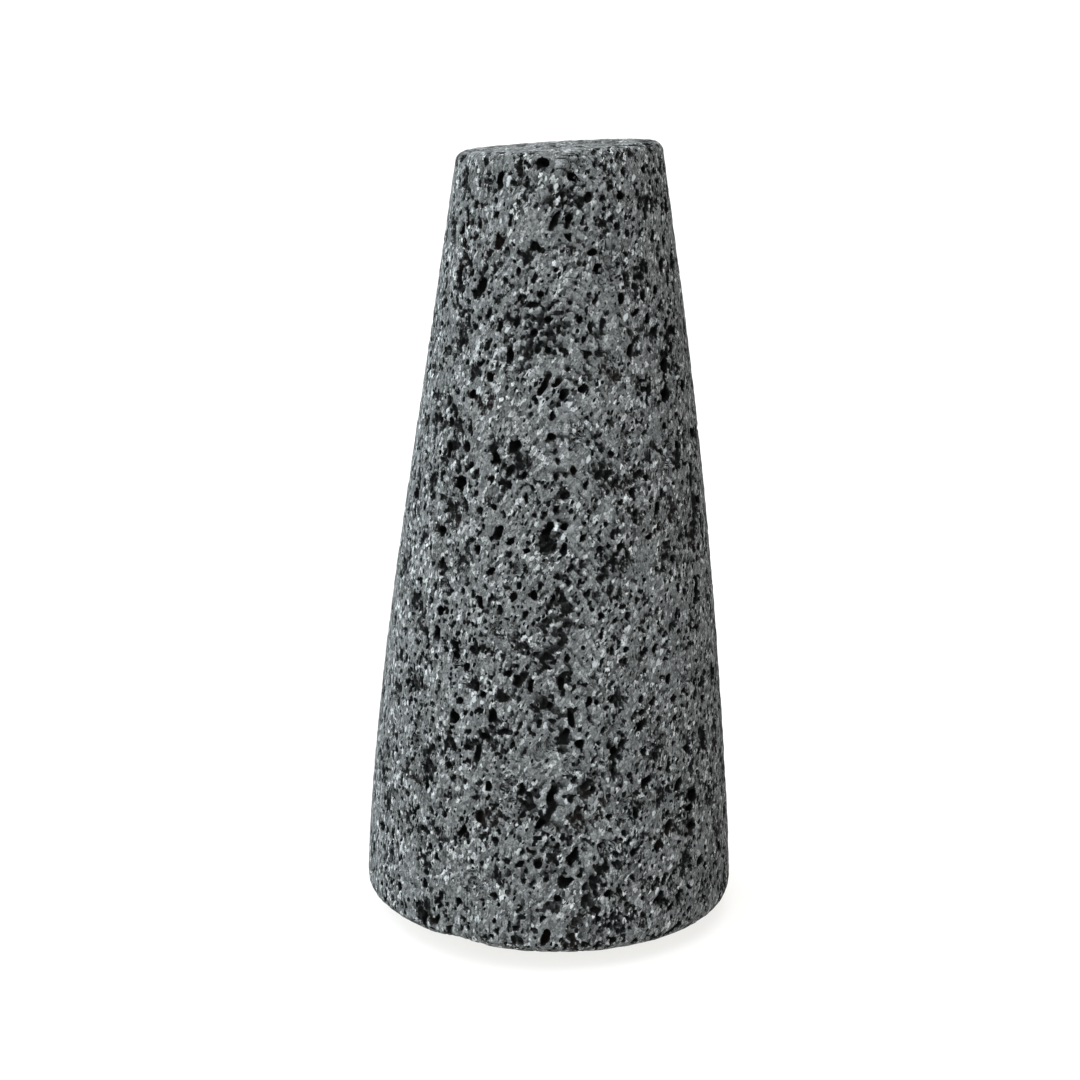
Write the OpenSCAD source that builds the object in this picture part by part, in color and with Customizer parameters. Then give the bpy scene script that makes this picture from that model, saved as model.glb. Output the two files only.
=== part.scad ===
// Tejolote: the hand-cut basalt pestle that is held in one hand to grind in a molcajete.
// It is one stone. It tapers from a broad, barely domed grinding end, on which it stands, to a
// grip with a slanted, roughly flat top. Millimetres, +Z up. The origin is on the resting flat,
// below the middle of the widest section.

/* [Overall size] */
// Height at the middle of the top face
height = 127; // [100:1:160]
// Diameter of the widest section, just above the grinding end
base_d = 61.5; // [52:0.5:72]
// Diameter that the taper reaches at the top, before the edge is rounded
top_d = 33; // [26:0.2:44]

/* [Grinding end] */
// Depth of the dome, from the widest section down to where its pole would be
dome_h = 6; // [4:0.5:12]
// Fullness of the dome: 2 is an ellipse, and more is squarer
dome_fullness = 2.4; // [1.8:0.05:3]
// Diameter of the worn flat that the stone rests on
rest_d = 30; // [20:1:40]
// How far the resting flat lies to the right of the middle
rest_shift = 1.2; // [0:0.1:3]
// How much higher the dome is worn on its left than on its right
dome_wear = 1.1; // [0:0.1:1.5]

/* [Taper and grip] */
// How far the sides swell past a straight taper
belly = 1.7; // [0:0.1:2.5]
// How far the top lies to the right of the middle
lean = 1.9; // [0:0.1:3]
// Radius of the worn edge round the top face
edge_r = 2; // [1:0.1:4]
// Slant of the top face, which rises to the right, in degrees
top_slant = 3; // [0:0.5:6]
// How far the hand-cut sides stand out from and in to a true circle
out_of_round = 0.3; // [0:0.05:0.6]

/* [Hidden] */

BASALT = [0.38, 0.39, 0.40];

// Facets: sides of each ring, and steps along each stretch of the profile
sides = 72;
dome_steps = 12;
side_steps = 18;
edge_steps = 5;

base_r = base_d / 2;
top_r = top_d / 2;
rest_r = rest_d / 2;

// The dome's profile is a quarter of a superellipse, cut short where the resting flat begins
dome_power = 2 / dome_fullness;
rest_angle = acos(pow(rest_r / base_r, 1 / dome_power));
waist_z = dome_h * pow(sin(rest_angle), dome_power);
shoulder_z = height - edge_r;

// The swelling is fullest a little below half way up
belly_skew = 0.8;
// The lean is over by this share of the way up, and the grip above it is upright
lean_span = 0.86;
// The slant of the top face fades out down the grip at this power of the height
slant_fade = 8;

// How far up the taper a height is: 0 at the widest section, 1 at the top
function share(z) = max(0, min(1, (z - waist_z) / (height - waist_z)));

function taper_r(z) =
    base_r + (top_r - base_r) * share(z) + belly * sin(180 * pow(share(z), belly_skew));

function dome_point(a) =
    [base_r * pow(cos(a), dome_power), waist_z - dome_h * pow(sin(a), dome_power)];

function edge_point(a) =
    [taper_r(shoulder_z) - edge_r * (1 - cos(a)), shoulder_z + edge_r * sin(a)];

// Radius and height of every ring, from the resting flat to the top face
dome_part = [for (i = [0 : dome_steps]) dome_point(rest_angle * (1 - i / dome_steps))];
side_part = [for (i = [1 : side_steps])
    let (z = waist_z + (shoulder_z - waist_z) * i / side_steps)
    [taper_r(z), z]];
edge_part = [for (i = [1 : edge_steps]) edge_point(90 * i / edge_steps)];
rings = concat(dome_part, side_part, edge_part);

// How far the middle of the ring at height z lies to the right
function shift_below(z) = rest_shift * pow(1 - min(z, waist_z) / waist_z, 2);

function shift_above(z) = lean * (1 - cos(180 * min(1, share(z) / lean_span))) / 2;

// What the chisel left on or took off the circle, on side a at height z
function uneven(a, z) =
    out_of_round * (cos(2 * a + 70 + z) + 0.5 * cos(3 * a - 1.5 * z)) * min(1, z / waist_z);

function ring_point(ring, a) =
    let (z = ring[1])
    let (r = ring[0] + uneven(a, z))
    let (top_rise = r * cos(a) * tan(top_slant) * pow(share(z), slant_fade))
    let (dome_rise = -dome_wear / 2 * cos(a) * sin(180 * min(1, z / waist_z)))
    [r * cos(a) + shift_below(z) + shift_above(z), r * sin(a), z + top_rise + dome_rise];

points = [for (ring = rings) for (i = [0 : sides - 1]) ring_point(ring, 360 * i / sides)];

function corner(ring, side) = ring * sides + side % sides;

walls = [for (ring = [0 : len(rings) - 2]) for (side = [0 : sides - 1])
    each [
        [corner(ring, side), corner(ring + 1, side), corner(ring + 1, side + 1)],
        [corner(ring, side), corner(ring + 1, side + 1), corner(ring, side + 1)]
    ]];
rest_face = [for (side = [0 : sides - 1]) corner(0, side)];
top_face = [for (side = [sides - 1 : -1 : 0]) corner(len(rings) - 1, side)];

module tejolote() {
    color(BASALT)
    polyhedron(points = points, faces = concat([rest_face], walls, [top_face]));
}

tejolote();
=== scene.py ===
"""A tejolote, the basalt pestle of a molcajete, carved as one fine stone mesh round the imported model."""

import math

import bmesh
import bpy
import numpy as np
import openvdb
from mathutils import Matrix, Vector
from mathutils.bvhtree import BVHTree


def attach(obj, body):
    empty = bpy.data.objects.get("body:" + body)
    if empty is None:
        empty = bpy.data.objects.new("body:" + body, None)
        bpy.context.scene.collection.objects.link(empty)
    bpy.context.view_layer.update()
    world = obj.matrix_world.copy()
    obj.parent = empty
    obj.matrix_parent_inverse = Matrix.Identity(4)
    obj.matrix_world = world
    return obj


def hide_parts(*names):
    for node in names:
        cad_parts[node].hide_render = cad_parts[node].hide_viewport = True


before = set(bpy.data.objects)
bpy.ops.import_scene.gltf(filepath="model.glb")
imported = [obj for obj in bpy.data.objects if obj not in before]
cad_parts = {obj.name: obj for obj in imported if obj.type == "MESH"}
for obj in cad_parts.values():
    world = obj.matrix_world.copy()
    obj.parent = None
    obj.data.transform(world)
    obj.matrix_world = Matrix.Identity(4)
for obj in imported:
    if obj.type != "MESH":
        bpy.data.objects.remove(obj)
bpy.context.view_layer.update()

MM = 0.001
STONE = "tejolote"
SEED = 12

# Where the photograph was taken from, and what the camera points at, in millimetres. The camera
# is near: the rim is seen from well above, and the top face almost edge on.
EYE = Vector((0, -330, 141.1))
AIM = Vector((-1.3, 0, 62.93))

# The stone's volume, in millimetres
VOXEL = 0.25
BAND = 2.5  # how deep below the surface the distances are true
MARGIN = 4  # voxels of air left round the stone
TILE = 96  # voxels along one side of a block of noise, which repeats
SPIKE = 1.6  # the noise is cut off at this many times its spread

# The direction that the bubbles were drawn out in while the lava still flowed
FLOW = np.array([0.42, 0.15, 0.9])
FLOW /= np.linalg.norm(FLOW)

# Bubbles cut open by the surface, commonest last: how many to a square centimetre, the smallest
# and largest radius, and how many times as long as wide the longest are
BUBBLES = [
    (0.1, 0.9, 1.1, 2.2),
    (0.35, 0.64, 0.9, 2.6),
    (1.5, 0.47, 0.64, 2.6),
    (7.0, 0.35, 0.47, 2.4),
    (16.0, 0.25, 0.35, 2.2),
]
# Shallow dents where a bubble's floor is all that is left: to a square centimetre, radii, how
# shallow they are as a share of the radius, and how ragged
DENTS = (6.0, 0.5, 1.3)
DENT_SHALLOW = 0.36
DENT_RAGGED = 0.25
# How much the surface is worn down, in fine grit and in wide lumps, in millimetres
GRIT, LUMPS = 0.02, 0.05
# The lists of places are measured on a flat sheet that faces the camera, this far from it. The
# camera points at SHEET_MIDDLE, and a step up the sheet counts as this much more.
SHEET_AWAY = 324.3
SHEET_MIDDLE = (-1.4, 66.2)
SHEET_TALL = 1.019
# A pore cut into the stone spreads a little, so each is cut at this share of the size it looks
CUT = 0.8
# No bubble is strewn nearer to a listed pore than this many times the largest radius of
# its kind
CLEARANCE = 3.2

# How crowded the bubbles are: the lengths, in millimetres, of the waves that it swings over, and
# how gently it goes from sparse to crowded
CROWD_WAVES = (34.0, 15.0, 8.0)
CROWD_EASE = 2.2
# Two patches of the front where it isn't left to chance, a calm stripe and a crowded strip that
# leans to the left as it goes up: the middle and the half-sizes, to the right and up
CALM_AT, CALM_HALVES, CALMER = (11, 72), (7, 30), 2.2
CROWDED_AT, CROWDED_HALVES, CROWDED_LEAN, MORE_CROWDED = (28, 85), (4, 40), 0.09, 3

# The larger pores on the front, listed from the top down: how far right and how high
# on the sheet, the width and length, and how many degrees the top leans to the right
PORES = [
    (-1, 124.6, 2.4, 2.2, 0), (-7.7, 122, 1.4, 3.6, 10), (-3.5, 121.3, 0.7, 2.4, 30),
    (3.8, 122.2, 1.5, 2.3, -50), (6.3, 119.3, 1.3, 2.7, -10), (11.4, 119.6, 1.4, 1.7, 0),
    (15, 123.6, 1.3, 1.4, 0), (-11, 121.4, 0.9, 1.4, 0), (-13, 123, 1, 1.6, 0),
    (0.9, 115.8, 1.1, 3.8, 25), (3, 115.8, 1.3, 2.7, 10), (-8.4, 116.5, 1.1, 1.4, 20),
    (-6.2, 115.4, 0.8, 2.4, 15), (-11, 115, 1, 1.8, 30), (-13.6, 114.3, 1.8, 2.2, 20),
    (-8, 112.3, 1.6, 3.6, 5), (-6.7, 110.9, 1, 2, 15), (6.6, 110.6, 1.3, 1.9, 80),
    (7.7, 108.2, 1.7, 2.4, 10), (3, 113, 0.9, 1.8, -60), (12.3, 110.4, 0.9, 1.4, -60),
    (16.5, 113, 1.1, 2.4, 15), (-4.9, 107.8, 0.8, 2.3, 5), (17.8, 108.7, 1.4, 2.6, 5),
    (-1.4, 104.2, 1.2, 1.4, 60), (-2.6, 102.7, 1, 2.8, 80), (11.4, 103.6, 1.2, 2.6, 5),
    (15, 103.9, 1.2, 1.6, 10), (16.9, 105, 1.6, 1.8, 20), (-9.5, 101.4, 0.8, 2.8, 35),
    (-7.7, 99.4, 1.3, 2, 15), (-5.2, 99.9, 1, 2.8, 5), (-0.2, 100.2, 1.5, 1.4, 0),
    (-2.4, 98.3, 1.1, 1.7, 45), (4.9, 100.2, 1, 1.6, 45), (16.9, 98.8, 1, 1.8, 20),
    (-6.2, 94.6, 1.5, 2.6, 5), (-0.2, 95.5, 1.1, 1.7, 20), (12.8, 95.7, 1.3, 2.3, 10),
    (18.4, 93.1, 1.9, 3.3, 0), (-9.3, 91.4, 1.6, 1.6, 30), (-0.9, 89.8, 1.2, 4.4, 28),
    (1.4, 90.6, 1, 2.4, 40), (2.2, 88.6, 1.6, 2.1, 40), (5.2, 89.6, 1.1, 2.6, 60),
    (-12.3, 88.7, 1.5, 1.9, 20), (18.4, 88.6, 2.4, 3, 60), (0.3, 82.1, 1.7, 2.1, 70),
    (-12.5, 83.9, 0.9, 2.2, 0), (-15.8, 80, 1.3, 3.4, -5), (-13, 80.5, 1.2, 2.2, 0),
    (-5.3, 80.9, 1.8, 2.6, 45), (20.4, 80.9, 1.8, 1.8, 0), (-8.4, 78.9, 1.8, 2.2, 30),
    (1.4, 78.4, 0.9, 1.1, 0), (3.9, 77, 1.3, 1.3, 0), (1.1, 76, 1, 1.8, 20),
    (-4, 76.2, 1.2, 1.5, 30), (-14.1, 74.8, 2.4, 2.9, -40), (-6.4, 74.7, 1.3, 1.8, 0),
    (13.2, 73.4, 1.3, 1.6, 0), (15.4, 75.8, 1.2, 1.3, 0), (5.8, 74.6, 0.8, 1.9, 10),
    (17.2, 71.2, 1.5, 2.1, 0), (-8.6, 71.2, 1.1, 1.4, 30), (1.1, 70.9, 1.2, 1.5, 20),
    (2.1, 72.9, 1, 1.3, 0), (-3.6, 72.7, 0.8, 1.9, 10), (-8.1, 67.4, 1.4, 3.3, 20),
    (-6.2, 65.9, 1.1, 1.9, 50), (-3.5, 64.5, 1.1, 1.3, 70), (-11.3, 64.7, 1.3, 1.9, 10),
    (-17, 67.6, 2.3, 2, 30), (-0.2, 67.4, 1.5, 3.3, 15), (2.4, 64.8, 1.2, 3.2, 25),
    (5.4, 66.5, 0.8, 2.3, 35), (8.1, 64.8, 1.1, 1.5, 0), (15.9, 66.7, 1.1, 1.6, 70),
    (-9.2, 61.5, 1.3, 2.4, 60), (-17, 62.8, 1.2, 3.2, 30), (-5.7, 57.4, 1.4, 2, 50),
    (-4.7, 59.2, 1, 2.2, 10), (-2.4, 57.5, 1.4, 1.9, 0), (0.4, 56.6, 0.8, 3.6, 25),
    (8.3, 54.4, 1.2, 1.7, 40), (12.4, 54.5, 0.9, 1.9, 0), (6.1, 57.9, 1, 1.7, 30),
    (-10.9, 56.6, 1.3, 2.6, 10), (-7.7, 55.3, 0.9, 2.2, 0), (-17.2, 55.3, 1.7, 2.1, 0),
    (-17.6, 52, 1.9, 2.6, 30), (-14.8, 49, 1.5, 3.4, -10), (10, 49.2, 0.9, 1.4, 10),
    (12.2, 49.2, 1.1, 1.3, 40), (16.8, 49.4, 1.1, 1.9, 25), (2.8, 47.8, 1.1, 1.5, 0),
    (-13.1, 46.4, 1.4, 1.9, 30), (-6.5, 45.5, 1.1, 1.9, 60), (-5.1, 44.5, 1.4, 1.9, 0),
    (-2.8, 43.6, 1, 2.7, 10), (-11.5, 43.6, 1.1, 2, 10), (-10.4, 42.3, 1.4, 1.4, 0),
    (-14.1, 41.3, 1.6, 1.5, 0), (2, 44, 1.1, 2.6, 10), (18.9, 44.7, 1.3, 2, 0),
    (26, 45.4, 2, 3.2, 0), (-14.9, 38.7, 2.2, 2.4, 30), (-9, 39, 1.7, 2.7, 15),
    (6.4, 41.2, 1.2, 1.9, 10), (7.6, 41, 0.9, 1.3, 10), (10, 41.5, 0.9, 1.8, 30),
    (14.6, 41.6, 1, 1.4, 20), (16.4, 41.2, 1, 1.9, 30), (14.8, 39.6, 1, 1.6, 50),
    (3.6, 38.4, 1.2, 3.6, -10), (14.6, 37.4, 1.5, 2.7, 45), (17.3, 38.5, 1.1, 1.4, 10),
    (-10.2, 35.8, 1.2, 2.2, 80), (-11.2, 33, 1.2, 4.2, 18), (-7.3, 36.5, 1.1, 2.2, 70),
    (-5.7, 34.5, 0.9, 1.6, 20), (4.9, 34.7, 1.7, 1.8, 0), (10.2, 33.2, 1.3, 3, 15),
    (11.5, 34.7, 1, 2.2, 40), (15, 33.5, 1.1, 1.5, 70), (22, 33.9, 1.7, 1.5, 0),
    (-4.3, 27.6, 1.3, 2.5, 10), (0.3, 26.6, 1.4, 3.4, 22), (-9.5, 28.1, 1.3, 2.6, 10),
    (15.5, 28.9, 1.5, 2.6, 70), (20.5, 28.5, 1.4, 3, 35), (22.8, 26.8, 2.4, 2.4, 0),
    (7, 27.6, 1.2, 1.4, 30), (22.4, 24.8, 1.6, 2, 0), (-11.1, 23.3, 1.1, 2.3, 20),
    (-19.4, 28.6, 1.1, 2.7, 5), (-1.3, 22.4, 1.4, 2.6, 10), (13.5, 23.6, 1.2, 2.1, 30),
    (9.6, 23.4, 1, 1.5, 70), (-8.4, 19.7, 1.2, 1.5, -30), (-4.6, 16, 1.1, 1.7, 60),
    (-1.7, 16, 1.4, 1.9, 20), (3.8, 17.1, 1.7, 3.2, 28), (-23.6, 12.6, 1.6, 2.3, 0),
    (9.3, 11.5, 1.3, 2.1, 45), (-14.3, 10.3, 1.3, 1.5, 20), (1.4, 10.7, 1.2, 1.3, 0),
    (-0.5, 4.6, 1.7, 3, 20),
]
# The same on the two flanks, which the camera sees aslant: the widths are along the surface
FLANK_PORES = [
    (16.7, 123.4, 1.4, 1.1, 0), (18.6, 118.3, 2.2, 4.2, 5), (18.2, 112.2, 1.1, 2.4, 0),
    (19.5, 109.8, 2, 3.8, 0), (18.9, 106.6, 1.4, 3.4, 0), (15.7, 100.6, 1.2, 2, 0),
    (21.2, 90.2, 1.8, 2.6, 20), (18.3, 83.8, 1.5, 1.4, 0), (22.8, 82.7, 2.4, 2.4, 0),
    (19.7, 75, 1, 0.9, 0), (23.7, 72.7, 2, 1.6, 0), (22.9, 65, 1, 2, 10),
    (19.6, 63.3, 0.9, 1.6, 0), (23.3, 58.8, 1.9, 4.2, 5), (20.5, 58.8, 0.9, 2, 0),
    (25.1, 57.2, 1.4, 2, 0), (20.3, 54.9, 1, 2, 0), (24.4, 41.8, 1.6, 1.3, 0),
    (23.2, 42.7, 0.8, 3.2, 20), (26.4, 34.5, 1.2, 3.4, 0), (24.3, 32.6, 0.9, 1.4, 0),
    (22.7, 22.1, 1.4, 1.5, 45), (21.8, 20.6, 1.1, 1.1, 0),
    (-15.4, 104.1, 1, 1.2, 0), (-12.9, 93.7, 1.3, 1.1, 0), (-17.2, 85.1, 1.4, 1.5, 0),
    (-17.8, 82.9, 0.8, 1.5, 0), (-21.3, 76.1, 1.4, 1.9, 0), (-19.7, 74.9, 0.7, 1.6, 0),
    (-21, 73.6, 1.4, 2.6, 5), (-21.2, 70.6, 1.1, 3, 5), (-18.7, 70.2, 0.8, 1, 0),
    (-19.3, 68.3, 0.8, 0.9, 0), (-20.5, 67.5, 0.8, 1.4, 5), (-18.7, 65, 0.8, 1.8, 0),
    (-22.3, 61.2, 0.9, 1.3, 0), (-18, 59, 0.9, 1.4, 0), (-15.9, 59.3, 0.8, 1.1, 0),
    (-18.6, 56.9, 1, 1.6, 0), (-24.3, 53.8, 1.6, 3.2, 5), (-19.3, 51.7, 0.9, 2.4, 5),
    (-22.5, 48, 0.8, 1.5, 0), (-21.2, 48.5, 1, 1, 0), (-17.8, 48.2, 0.9, 1, 0),
    (-25.2, 44.6, 1.4, 2.4, 5), (-20.1, 44.4, 0.8, 2.4, 12), (-18.4, 38.5, 1.1, 1.1, 0),
    (-25.6, 34.7, 1, 1.8, 0), (-22.4, 30.7, 0.8, 1.7, 0), (-19.6, 31.1, 1, 1.1, 0),
    (-16.5, 23.8, 0.8, 1.9, 0), (-23.7, 23.9, 0.8, 1.6, 0), (-22.7, 20.5, 0.8, 0.9, 0),
    (-18.8, 18.8, 0.9, 1.3, 0), (-17.8, 17.2, 1, 1.5, 0), (-19.7, 13.1, 1.1, 1.9, 0),
]
# The same for the gouges, which are wide and shallow: how far out from the surface the hollow's
# middle is, how far down it reaches from there, and how ragged its wall is
GOUGE_OUT = 0.25
GOUGE_DEEP = 0.95
GOUGE_RAGGED = 0.3
GOUGES = [
    (5, 124, 2.6, 3, -30), (-7.4, 109.8, 2, 2.4, 0), (9.4, 108.6, 2.6, 5, 30),
    (-6, 92.2, 1.8, 2.4, 0), (9.6, 94.3, 1.4, 1.6, 0), (4.5, 82.1, 2, 3.4, 35),
    (19, 79.4, 2.4, 5, 0), (13, 82, 2.4, 4.6, 25), (-5.1, 61.5, 1.6, 2.4, 50),
    (-8.4, 52, 2.4, 3.2, 30), (-0.6, 34, 2.4, 3.8, 30), (3.2, 31.9, 1.7, 2.4, 0),
    (-6.4, 27.4, 3, 7.4, 18), (10.1, 36.7, 1.2, 2.8, 50), (12, 24.5, 2.2, 3, 20),
    (9, 18.5, 2.4, 2.6, 40), (-12, 13.8, 2.2, 2.8, 10), (21.6, 45.1, 2, 3.6, 0),
    (-14, 46.6, 2, 3.8, -20), (-21.1, 35.6, 2.2, 5, 5), (-21, 54.5, 1.8, 2.8, 0),
    (-18, 23.8, 1.4, 3.2, 0),
]
# The flat that was knocked off the lower rim: its middle, the way it faces, the way the rim runs
# there, how deep it goes, and the half-sizes of the hollow that cuts it: across, along and out
CHIP_AT = np.array([-14.2, -25.9, 3.5])
CHIP_FACES = np.array([-0.19, -0.34, -0.92])
RIM_RUNS = np.array([0.88, -0.48, 0])
CHIP_DEEP = 0.65
CHIP_HALVES = np.array([8.0, 11.0, 3.0])
CHIP_RAGGED = 0.03


# ---------------------------------------------------------------- the stone's volume


def cad_surface(node):
    """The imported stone's corners, in millimetres, and its triangles."""
    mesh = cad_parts[node].data
    mesh.calc_loop_triangles()
    points = np.empty(len(mesh.vertices) * 3, np.float32)
    mesh.vertices.foreach_get("co", points)
    triangles = np.empty(len(mesh.loop_triangles) * 3, np.int32)
    mesh.loop_triangles.foreach_get("vertices", triangles)
    return points.reshape(-1, 3) / MM, triangles.reshape(-1, 3).astype(np.uint32)


def scatter(points, triangles, per_cm2, rng):
    """Random places on the surface, evenly spread, and the outward direction at each."""
    a, b, c = (points[triangles[:, i]].astype(float) for i in range(3))
    cross = np.cross(b - a, c - a)
    area = np.linalg.norm(cross, axis=1) / 2
    count = int(per_cm2 * area.sum() / 100)
    pick = rng.choice(len(area), count, p=area / area.sum())
    u, v = rng.random((2, count, 1))
    flip = u + v > 1
    u, v = np.where(flip, 1 - u, u), np.where(flip, 1 - v, v)
    spots = a[pick] + u * (b - a)[pick] + v * (c - a)[pick]
    return spots, cross[pick] / (2 * area[pick, None])


def on_front(points, triangles, places):
    """For each place on the sheet, the spot on the stone that the camera sees there, the outward
    direction, three axes that lean as the place does, and half its width and length there."""
    tree = BVHTree.FromPolygons(points.tolist(), triangles.tolist())
    ahead = (AIM - EYE).normalized()
    right = ahead.cross(Vector((0, 0, 1))).normalized()
    up = right.cross(ahead)
    for x, z, wide, long, lean in places:
        aside = right * (x - SHEET_MIDDLE[0]) + up * (z - SHEET_MIDDLE[1]) * SHEET_TALL
        spot, out, _, away = tree.ray_cast(EYE, ahead * SHEET_AWAY + aside)
        upward = right * math.sin(math.radians(lean)) + up * math.cos(math.radians(lean))
        size = np.array([wide, long]) / 2 * away / SHEET_AWAY
        yield np.array(spot), np.array(out), across(np.array(upward), np.array(out)), size


def noise_tile(longest, shortest, rng):
    """A repeating block of noise with a spread of 1, whose waves are this long in millimetres."""
    waves = np.fft.fftn(rng.standard_normal((TILE, TILE, TILE)))
    f = np.fft.fftfreq(TILE, VOXEL)
    size = np.sqrt(f[:, None, None] ** 2 + f[None, :, None] ** 2 + f[None, None, :] ** 2)
    waves[(size < 1 / longest) | (size > 1 / shortest)] = 0
    block = np.fft.ifftn(waves).real.astype(np.float32)
    return np.clip(block / block.std(), -SPIKE, SPIKE)


def window(tile, low, shape):
    """The noise over a box of voxels, with the tile repeated as often as it takes."""
    i, j, k = (np.arange(lo, lo + n) % TILE for lo, n in zip(low, shape))
    return tile[i[:, None, None], j[None, :, None], k[None, None, :]]


def across(direction, normal):
    """Three directions at right angles: along the surface and across it near direction, and out."""
    along = direction - normal * (direction @ normal)
    along /= np.linalg.norm(along)
    return np.array([np.cross(along, normal), along, normal])


def crowding(spots, rng):
    """How crowded the bubbles are at each place, from 0 to 1: the lava was patchy."""
    total = np.zeros(len(spots))
    for wave in CROWD_WAVES:
        for _ in range(4):
            direction = rng.normal(size=3)
            direction /= np.linalg.norm(direction)
            total += np.sin(spots @ direction * (2 * math.pi / wave) + rng.random() * 2 * math.pi)
    x, y, z = spots.T
    aside, up = x - CALM_AT[0], z - CALM_AT[1]
    calm = (aside / CALM_HALVES[0]) ** 2 + (up / CALM_HALVES[1]) ** 2
    aside, up = x - CROWDED_AT[0] + CROWDED_LEAN * z, z - CROWDED_AT[1]
    crowded = (aside / CROWDED_HALVES[0]) ** 2 + (up / CROWDED_HALVES[1]) ** 2
    total += (MORE_CROWDED * np.exp(-crowded) - CALMER * np.exp(-calm)) * (y < 0)
    return 1 / (1 + np.exp(-total / CROWD_EASE))


class Block:
    """The stone as voxels, each holding how far outside the surface it is, in millimetres."""

    def __init__(self, points, triangles, rng):
        grid = openvdb.FloatGrid.createLevelSetFromPolygons(
            points,
            triangles=triangles,
            transform=openvdb.createLinearTransform(voxelSize=VOXEL),
            halfWidth=BAND / VOXEL,
        )
        self.low = np.floor(points.min(0) / VOXEL).astype(int) - MARGIN
        high = np.ceil(points.max(0) / VOXEL).astype(int) + MARGIN
        self.whole = np.empty(high - self.low + 1, np.float32)
        grid.copyToArray(self.whole, ijk=tuple(int(v) for v in self.low))
        self.rng = rng
        self.grit = noise_tile(1.6, 0.6, rng)
        self.knots = noise_tile(3.2, 1.1, rng)
        self.left = self.whole.copy()

    def wear(self, grit, lumps):
        """Takes the surface down a little, unevenly."""
        wide = noise_tile(9.0, 2.0, self.rng)
        shape = self.whole.shape
        self.left += grit * np.abs(window(self.grit, self.low, shape))
        self.left += lumps * (1 + window(wide, self.low, shape) / SPIKE)

    def carve(self, centre, axes, radii, ragged):
        """Takes out an ellipsoid whose wall is pushed in and out by noise."""
        reach = 1.5 * radii.max()
        first = np.maximum(np.floor((centre - reach) / VOXEL).astype(int) - self.low, 0)
        last = np.ceil((centre + reach) / VOXEL).astype(int) - self.low + 1
        last = np.minimum(last, self.left.shape)
        if (last <= first).any():
            return
        box = tuple(slice(a, b) for a, b in zip(first, last))
        x, y, z = (
            (np.arange(a, b) + lo) * VOXEL - c
            for a, b, lo, c in zip(first, last, self.low, centre)
        )
        x, y, z = x[:, None, None], y[None, :, None], z[None, None, :]
        q = [m[0] * x + m[1] * y + m[2] * z for m in axes / radii[:, None]]
        away = np.sqrt(q[0] ** 2 + q[1] ** 2 + q[2] ** 2)
        tile = self.knots if radii.max() > 0.8 else self.grit
        noise = window(tile, first + self.rng.integers(TILE, size=3), last - first)
        hollow = (1 - away * (1 + ragged * noise)) * radii.min()
        np.maximum(self.left[box], hollow.astype(np.float32), out=self.left[box])

    def bubble(self, spot, axes, radii, buds, ragged=0.2):
        """A hollow with smaller ones budding from its side, centred a little below spot."""
        centre = spot - axes[2] * radii[2] * self.rng.uniform(0.05, 0.4)
        self.carve(centre, axes, radii, ragged)
        for _ in range(buds):
            aside = self.rng.uniform(-0.75, 0.75, 3) * radii @ axes
            self.carve(centre + aside, axes, radii * self.rng.uniform(0.35, 0.6), ragged)


def shape_block(block, points, triangles):
    """Knocks a flat off the lower rim and scoops out the gouges. They are the stone's own shape,
    lit like the rest of it, so the depth of the hollows is counted from them."""
    centre = CHIP_AT + CHIP_FACES * (CHIP_HALVES[2] - CHIP_DEEP)
    block.carve(centre, across(RIM_RUNS, CHIP_FACES), CHIP_HALVES, CHIP_RAGGED)
    for spot, out, axes, (wide, long) in on_front(points, triangles, GOUGES):
        radii = np.array([wide, long, GOUGE_DEEP])
        block.carve(spot + out * GOUGE_OUT, axes, radii, GOUGE_RAGGED)
    block.whole[:] = block.left


def place_pores(block, points, triangles):
    """The pores in the lists. Returns where they are."""
    spots = []
    for spot, _, axes, (wide, long) in on_front(points, triangles, PORES + FLANK_PORES):
        radii = np.array([wide * CUT, long * CUT, 0.3 + 0.8 * min(wide, long)])
        block.bubble(spot, axes, radii, block.rng.integers(0, 3))
        spots.append(spot)
    return np.array(spots)


def strew_bubbles(block, points, triangles, placed):
    rng = block.rng
    for per_cm2, smallest, largest, longest in BUBBLES:
        spots, out = scatter(points, triangles, per_cm2 * 2, rng)
        keep = rng.random(len(spots)) < crowding(spots, np.random.default_rng(SEED + 1))
        nearest = np.min(np.linalg.norm(spots[:, None] - placed[None], axis=2), axis=1)
        keep &= nearest > CLEARANCE * largest
        for spot, normal in zip(spots[keep], out[keep]):
            radius = smallest * (largest / smallest) ** rng.random()
            stretch = 1 + (longest - 1) * rng.random() ** 1.5
            radii = radius * np.array([stretch**-0.5, stretch**0.5, 1])
            radii[2] = max(radius, 0.4) * rng.uniform(0.8, 1.2)
            axes = across(FLOW + rng.normal(0, 0.3, 3), normal)
            block.bubble(spot, axes, radii, rng.integers(0, 3))


def strew_dents(block, points, triangles):
    rng = block.rng
    per_cm2, smallest, largest = DENTS
    spots, out = scatter(points, triangles, per_cm2, rng)
    for spot, normal in zip(spots, out):
        radius = rng.uniform(smallest, largest)
        radii = radius * np.array([1, rng.uniform(1.2, 2.2), DENT_SHALLOW])
        axes = across(FLOW + rng.normal(0, 0.3, 3), normal)
        block.carve(spot + normal * radii[2] * rng.uniform(0.2, 0.6), axes, radii, DENT_RAGGED)


def carved_stone():
    points, triangles = cad_surface(STONE)
    block = Block(points, triangles, np.random.default_rng(SEED))
    shape_block(block, points, triangles)
    block.wear(GRIT, LUMPS)
    placed = place_pores(block, points, triangles)
    strew_bubbles(block, points, triangles, placed)
    strew_dents(block, points, triangles)
    return block


# ---------------------------------------------------------------- the stone's mesh


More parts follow.
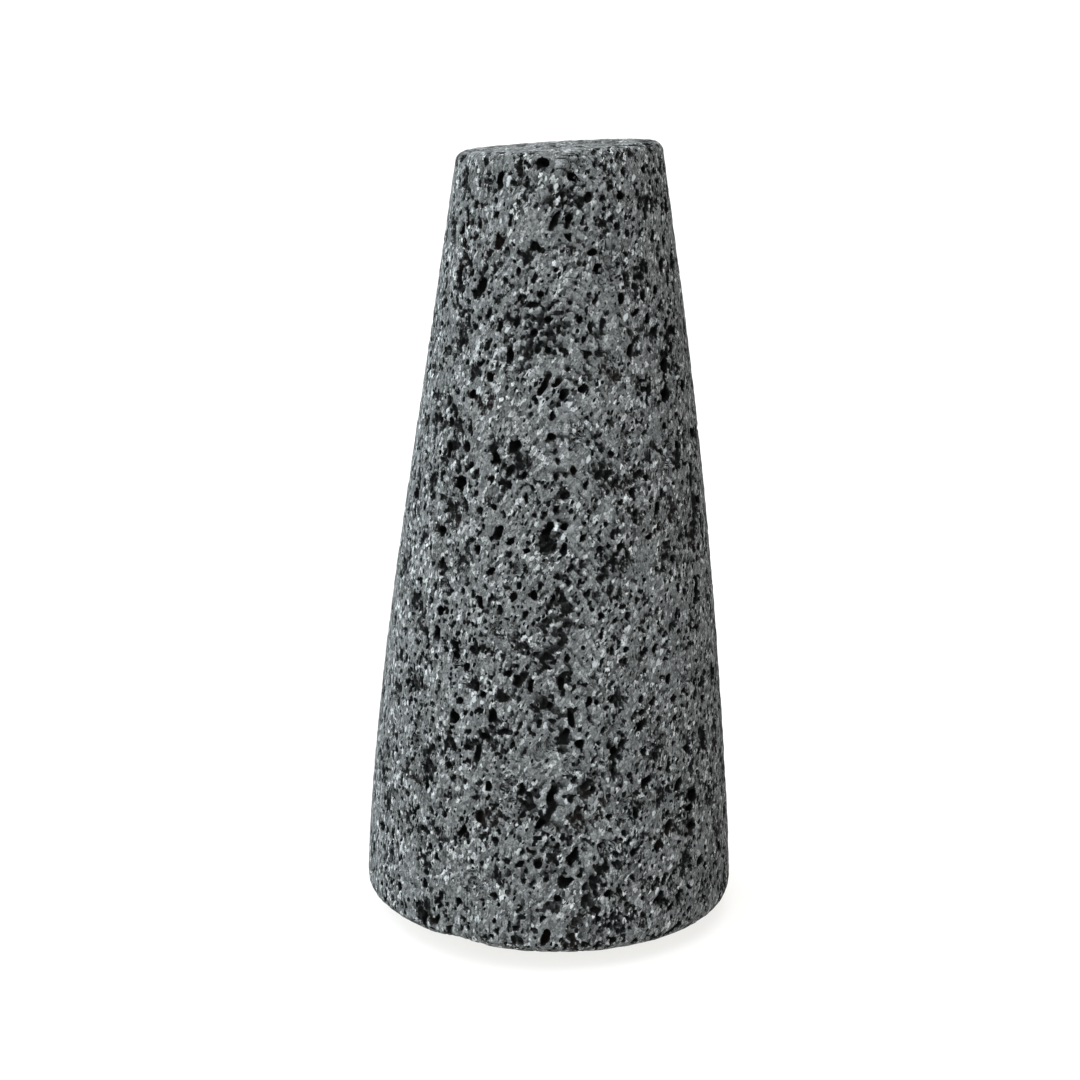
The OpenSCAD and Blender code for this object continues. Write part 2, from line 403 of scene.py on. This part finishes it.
def surface_of(block):
    """The block's surface as points, in millimetres, and four-sided faces that look outward."""
    grid = openvdb.FloatGrid(BAND)
    grid.transform = openvdb.createLinearTransform(voxelSize=VOXEL)
    grid.copyFromArray(block.left, ijk=tuple(int(v) for v in block.low))
    points, quads = grid.convertToQuads(0.0)
    quads = quads.astype(np.int64)
    a, b, c = (points[quads[:, i]].astype(float) for i in range(3))
    if np.einsum("ij,ij->", a, np.cross(b, c)) < 0:
        quads = quads[:, ::-1]
    return points, quads


def largest_piece(points, quads):
    """The surface without the crumbs and sealed bubbles that aren't joined to it."""
    label = np.arange(len(points))
    ends = np.concatenate([quads[:, [0, 1]], quads[:, [1, 2]], quads[:, [2, 3]]])
    while True:
        least = np.minimum(label[ends[:, 0]], label[ends[:, 1]])
        lower = label.copy()
        np.minimum.at(lower, ends[:, 0], least)
        np.minimum.at(lower, ends[:, 1], least)
        lower = lower[lower]
        if (lower == label).all():
            break
        label = lower
    keep = label == np.bincount(label).argmax()
    new_index = np.cumsum(keep) - 1
    return points[keep], new_index[quads[keep[quads[:, 0]]]]


def depth_below_surface(block, points):
    """How far each point is below the surface that the stone had before wear and pores."""
    i = np.rint(points / VOXEL).astype(int) - block.low
    i = np.clip(i, 0, np.array(block.whole.shape) - 1)
    return -block.whole[i[:, 0], i[:, 1], i[:, 2]]


def build_mesh(name, points, quads):
    mesh = bpy.data.meshes.new(name)
    mesh.vertices.add(len(points))
    mesh.vertices.foreach_set("co", (points * MM).astype(np.float32).ravel())
    mesh.loops.add(quads.size)
    mesh.loops.foreach_set("vertex_index", quads.astype(np.int32).ravel())
    mesh.polygons.add(len(quads))
    mesh.polygons.foreach_set("loop_start", np.arange(0, quads.size, 4, dtype=np.int32))
    mesh.update(calc_edges=True)
    mesh.shade_smooth()
    return mesh


# How the surface is laid out flat: the sides are a strip as wide as the square, and the two ends
# are discs above it. The side strip's height and the discs' places are shares of the square.
FLAT_MM = 190.0  # millimetres to the side of the square
END_Z = (2.6, 125.0)  # below the first and above the second, a face belongs to an end
END_AT = ((0.17, 0.84), (0.5, 0.84))


def flat_layout(points, quads):
    """Where each corner of each face lies on the flat layout, both from 0 to 1."""
    corners = points[quads].astype(float)
    x, y, z = corners[..., 0], corners[..., 1], corners[..., 2]
    turn = np.arctan2(y, x) / (2 * math.pi) + 0.5
    wraps = np.ptp(turn, axis=1) > 0.5
    turn[wraps] += turn[wraps] < 0.5
    flat = np.stack([0.01 + turn * 0.97, 0.01 + z / FLAT_MM], axis=2)
    middle = z.mean(axis=1)
    for here, (u, v) in zip((middle < END_Z[0], middle > END_Z[1]), END_AT):
        flat[here] = corners[here][..., :2] / FLAT_MM + (u, v)
    return flat


def stone():
    block = carved_stone()
    points, quads = largest_piece(*surface_of(block))
    mesh = build_mesh("basalt_stone", points, quads)
    # How deep each point lies below the first surface, which the basalt material turns into painted shade
    # in the hollows
    depth = mesh.attributes.new("depth", "FLOAT", "POINT")
    depth.data.foreach_set("value", depth_below_surface(block, points))
    flat = mesh.uv_layers.new(name="OFBake")
    flat.uv.foreach_set("vector", flat_layout(points, quads).astype(np.float32).ravel())
    piece = bpy.data.objects.new("basalt_stone", mesh)
    bpy.context.scene.collection.objects.link(piece)
    mesh.materials.append(basalt())
    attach(piece, "root")
    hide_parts(STONE)


# ---------------------------------------------------------------- materials


class Nodes:
    """Short calls that add one shader node each and return its output."""

    def __init__(self, material):
        material.use_nodes = True
        self.tree = material.node_tree
        self.tree.nodes.clear()

    def put(self, socket, value):
        if isinstance(value, bpy.types.NodeSocket):
            self.tree.links.new(value, socket)
        else:
            socket.default_value = value

    def add(self, kind, output=0, settings=(), **sockets):
        """A node whose sockets are named, with _ for a space, or numbered, after a _."""
        node = self.tree.nodes.new("ShaderNode" + kind)
        for key, value in dict(settings).items():
            setattr(node, key, value)
        for key, value in sockets.items():
            numbered = key[0] == "_"
            self.put(node.inputs[int(key[1:]) if numbered else key.replace("_", " ")], value)
        return node.outputs[output]

    def maths(self, operation, a, b=0.0):
        return self.add("Math", settings={"operation": operation}, _0=a, _1=b)

    def vector(self, operation, a, b):
        """A sum of two vectors, or a vector times a number."""
        kind = {"operation": operation}
        if operation == "SCALE":
            return self.add("VectorMath", settings=kind, _0=a, Scale=b)
        return self.add("VectorMath", settings=kind, _0=a, _1=b)

    def ramp(self, value, low, high, to_low=0.0, to_high=1.0):
        """value between low and high, eased, as a number between to_low and to_high."""
        return self.add(
            "MapRange",
            settings={"interpolation_type": "SMOOTHSTEP"},
            Value=value,
            From_Min=low,
            From_Max=high,
            To_Min=to_low,
            To_Max=to_high,
        )

    def lookup(self, value, stops):
        """value, from 0 to 1, looked up on straight lines through stops of (value, grey)."""
        node = self.tree.nodes.new("ShaderNodeValToRGB")
        self.put(node.inputs[0], value)
        line = node.color_ramp.elements
        while len(line) < len(stops):
            line.new(1.0)
        for element, (place, level) in zip(line, stops):
            element.position = place
            element.color = (level, level, level, 1)
        return node.outputs[0]

    def blend(self, mode, factor, a, b):
        """b over a, as colours."""
        node = self.tree.nodes.new("ShaderNodeMix")
        node.data_type, node.blend_type = "RGBA", mode
        for socket, value in ((0, factor), (6, a), (7, b)):
            self.put(node.inputs[socket], value)
        return node.outputs[2]


def grey(value, blue=1.0):
    return (value * 0.975, value * (1 + blue) / 2, value * blue, 1)


def output(n, shader):
    node = n.tree.nodes.new("ShaderNodeOutputMaterial")
    n.tree.links.new(shader, node.inputs["Surface"])


def drawn_out(n, place, stretch):
    """place, changed so that a pattern on it is stretched along the lava's flow."""
    way = tuple(float(v) for v in FLOW)
    along = n.add("VectorMath", 1, {"operation": "DOT_PRODUCT"}, _0=place, _1=way)
    shift = n.maths("MULTIPLY", along, 1 / stretch - 1)
    return n.vector("ADD", place, n.vector("SCALE", way, shift))


def ragged(n, place, scale, amount):
    """place, pushed about by noise, so that a pattern on it has uneven edges."""
    push = n.add("TexNoise", 1, Vector=place, Scale=scale, Detail=1.0)
    push = n.vector("ADD", push, (-0.5, -0.5, -0.5))
    return n.vector("ADD", place, n.vector("SCALE", push, amount))


# The greys of the grains that the ground is made of, as light as this share of them or darker
GRAINS = [
    (0.0, 0.022), (0.08, 0.038), (0.2, 0.064), (0.4, 0.094), (0.6, 0.124),
    (0.75, 0.165), (0.87, 0.235), (0.95, 0.34), (1.0, 0.46),
]


def ground(n, place):
    """Basalt's tightly knit grains, each one grey, that in some patches are calmer than in others."""
    grains = n.add("TexVoronoi", 1, Vector=ragged(n, drawn_out(n, place, 1.7), 3.0, 0.5), Scale=2.3)
    grain = n.add("SeparateColor", Color=grains)
    light = n.lookup(grain, GRAINS)
    patches = n.add("TexNoise", Vector=drawn_out(n, place, 1.6), Scale=0.22, Detail=2.0)
    calm = n.ramp(patches, 0.42, 0.62, 0.0, 0.45)
    light = n.blend("MIX", calm, light, grey(0.135))
    fine = n.add("TexVoronoi", 1, Vector=ragged(n, drawn_out(n, place, 1.5), 6.0, 0.2), Scale=5.2)
    fine = n.lookup(n.add("SeparateColor", Color=fine), [(0.0, 0.4), (1.0, 1.0)])
    light = n.blend("MULTIPLY", 1.0, light, fine)
    stain = n.add("TexNoise", Vector=place, Scale=0.16, Detail=3.0)
    tint = n.blend("MIX", n.ramp(stain, 0.3, 0.7), grey(1.3, 0.985), grey(1.54, 1.0))
    return n.blend("MULTIPLY", 1.0, light, tint), grain


def crystals(n, place):
    """Where the pale feldspar crystals are: short laths, strewn, and each its own size."""
    place = ragged(n, drawn_out(n, place, 1.9), 2.2, 0.45)
    cells = {"Vector": place, "Scale": 0.75}
    size = n.add("SeparateColor", Color=n.add("TexVoronoi", 1, **cells))
    away = n.add("TexVoronoi", 0, **cells)
    size = n.ramp(size, 0.4, 1.0, -0.05, 0.28)
    return n.ramp(n.maths("SUBTRACT", away, size), -0.02, 0.015, 1.0, 0.0)


def specks(n, place):
    """Where the finest pores are, which are too small to carve: the mask for their painted shade and their
    bump.
    """
    place = ragged(n, drawn_out(n, place, 1.7), 2.5, 0.4)
    cells = {"Vector": place, "Scale": 1.5}
    size = n.add("SeparateColor", Color=n.add("TexVoronoi", 1, **cells))
    size = n.ramp(size, 0.3, 1.0, -0.05, 0.46)
    crowd = n.add("TexNoise", Vector=place, Scale=0.3, Detail=2.0)
    size = n.maths("MULTIPLY", size, n.ramp(crowd, 0.35, 0.65, 0.55, 1.1))
    away = n.add("TexVoronoi", 0, **cells)
    return n.ramp(n.maths("SUBTRACT", away, size), -0.05, 0.03, 1.0, 0.0)


def basalt():
    """Grey basalt: a salt-and-pepper ground and pale feldspar, with painted shade: the finest pores are
    painted black, and the hollows darker the deeper they go.
    """
    material = bpy.data.materials.new("basalt")
    n = Nodes(material)
    place = n.vector("SCALE", n.add("TexCoord", 3), 1 / MM)
    colour, grain = ground(n, place)
    pale = crystals(n, place)
    colour = n.blend("MIX", pale, colour, grey(0.37, 1.02))
    speck = specks(n, place)
    # Painted shade: the finest pores are painted near black, as the shade inside them would look.
    colour = n.blend("MIX", speck, colour, grey(0.004))

    # Painted shade: the deeper a point lies below the stone's first surface, the nearer black its colour,
    # in pores, dents and low worn places alike. Only the slight rust-brown in it is the hollows' own
    # colour.
    depth = n.add("Attribute", 2, {"attribute_name": "depth"})
    rust = n.ramp(n.add("TexNoise", Vector=place, Scale=0.12, Detail=1.0), 0.55, 0.7)
    hollow = n.blend("MIX", rust, grey(0.0015), (0.005, 0.0035, 0.0028, 1))
    depth_shade = n.lookup(depth, [(0.11, 0.0), (0.2, 0.85), (0.34, 0.98), (0.8, 1.0)])
    colour = n.blend("MIX", depth_shade, colour, hollow)

    fine = n.add("TexNoise", Vector=place, Scale=5.0, Detail=3.0, Roughness=0.7)
    height = n.maths("ADD", n.maths("MULTIPLY", grain, 0.4), fine)
    height = n.maths("SUBTRACT", height, n.maths("MULTIPLY", speck, 1.5))
    bump = n.add("Bump", Height=height, Strength=0.5, Distance=0.12 * MM)
    shader = n.add(
        "BsdfPrincipled",
        Base_Color=colour,
        Roughness=n.ramp(pale, 0, 1, 0.85, 0.55),
        Specular_IOR_Level=0.03,
        Normal=bump,
    )
    output(n, shader)
    return material


def white(name, base, glow, tint=(1, 1, 1)):
    """Plain matt white that gives off some light of its own, so that it never looks grey."""
    material = bpy.data.materials.new(name)
    n = Nodes(material)
    base = (base, base, base, 1)
    light = {"Emission_Color": (*tint, 1), "Emission_Strength": glow}
    output(n, n.add("BsdfPrincipled", Base_Color=base, Roughness=0.9, **light))
    return material


# ---------------------------------------------------------------- stage, lights and camera


def staged(name, mesh, material):
    mesh.materials.append(material)
    piece = bpy.data.objects.new(name, mesh)
    bpy.context.scene.collection.objects.link(piece)
    return piece


# The floor and the sky give a slightly warm light, and the front and window lights are cool
WARM_FLOOR = (1.0, 0.99, 0.965)
WARM_SKY = (1.0, 0.985, 0.965)
# How far the white floor and the dome reach, in metres.
ROOM = 5.0


def floor():
    mesh = bpy.data.meshes.new("floor")
    corners = [(-ROOM, -ROOM, 0), (ROOM, -ROOM, 0), (ROOM, ROOM, 0), (-ROOM, ROOM, 0)]
    mesh.from_pydata(corners, [], [(0, 1, 2, 3)])
    staged("floor", mesh, white("floor_white", 0.15, 0.8, WARM_FLOOR))


def backdrop():
    """A white dome far round the stone. It is only seen: it neither lights the stone nor shades it."""
    mesh = bpy.data.meshes.new("backdrop")
    shell = bmesh.new()
    bmesh.ops.create_icosphere(shell, subdivisions=4, radius=ROOM)
    shell.to_mesh(mesh)
    shell.free()
    piece = staged("backdrop", mesh, white("backdrop_white", 0.0, 1.0))
    piece.visible_diffuse = piece.visible_glossy = piece.visible_shadow = False


def sunlight(name, toward, strength, spread, colour=(1, 1, 1)):
    """Even soft light from a direction, over a patch of sky that is spread degrees across."""
    lamp = bpy.data.lights.new(name, "SUN")
    lamp.energy, lamp.angle, lamp.color = strength, math.radians(spread), colour
    piece = bpy.data.objects.new(name, lamp)
    piece.rotation_euler = Vector(toward).to_track_quat("Z", "Y").to_euler()
    bpy.context.scene.collection.objects.link(piece)


def studio():
    world = bpy.data.worlds.new("studio")
    world.use_nodes = True
    background = world.node_tree.nodes["Background"]
    background.inputs["Color"].default_value = (*WARM_SKY, 1)
    background.inputs["Strength"].default_value = 0.3
    bpy.context.scene.world = world
    bpy.context.scene.view_settings.view_transform = "Standard"
    sunlight("front", (-0.41, -0.71, 0.57), 2.75, 60, (0.83, 0.942, 1.0))
    sunlight("window", (-0.75, 0.57, 0.34), 3.65, 45, (0.79, 0.928, 1.0))
    sunlight("overhead", (-0.1, -0.1, 0.99), 4.1, 60)
    sunlight("fill", (0.8, -0.55, -0.1), 0.3, 90, (1.0, 0.96, 0.92))


def camera():
    cam = bpy.data.cameras.new("camera")
    cam.sensor_width, cam.lens = 36.0, 68.6
    cam.clip_start, cam.clip_end = 0.05, 60.0
    piece = bpy.data.objects.new("camera", cam)
    piece.location = EYE * MM
    piece.rotation_euler = (AIM - EYE).to_track_quat("-Z", "Y").to_euler()
    bpy.context.scene.collection.objects.link(piece)
    bpy.context.scene.camera = piece


camera()
studio()
floor()
backdrop()
stone()
